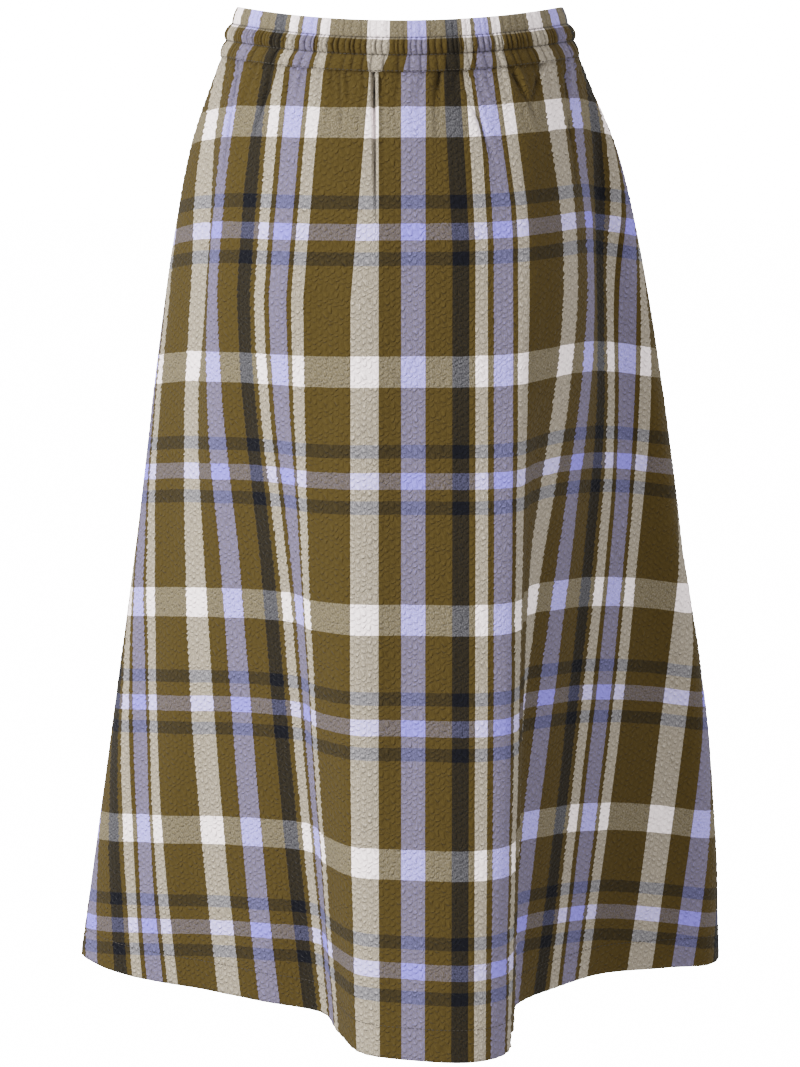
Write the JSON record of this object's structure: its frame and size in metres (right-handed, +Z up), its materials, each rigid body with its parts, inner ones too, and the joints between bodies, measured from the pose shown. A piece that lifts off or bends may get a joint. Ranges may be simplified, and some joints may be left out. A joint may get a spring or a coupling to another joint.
{
  "type": "seersucker skirt",
  "caption": "Pull-on midi skirt in plaid seersucker, filled out and hollow, with an elastic waistband, flared panels and a stitched hem.",
  "frame": {"origin": "middle of the waist, at the waistband's mean height, where the wearer holds the skirt up", "axes": "+Z up, the skirt's front faces -Y, +X to the right when its front is looked at"},
  "size_m": [0.533, 0.387, 0.7812],
  "materials": {
    "seersucker": "puckered matt cotton in a yarn-dyed plaid"
  },
  "bodies": {
    "root": {"front_panel": "seersucker", "back_panel": "seersucker", "waistband_front": "seersucker", "waistband_back": "seersucker"}
  },
  "joints": []
}
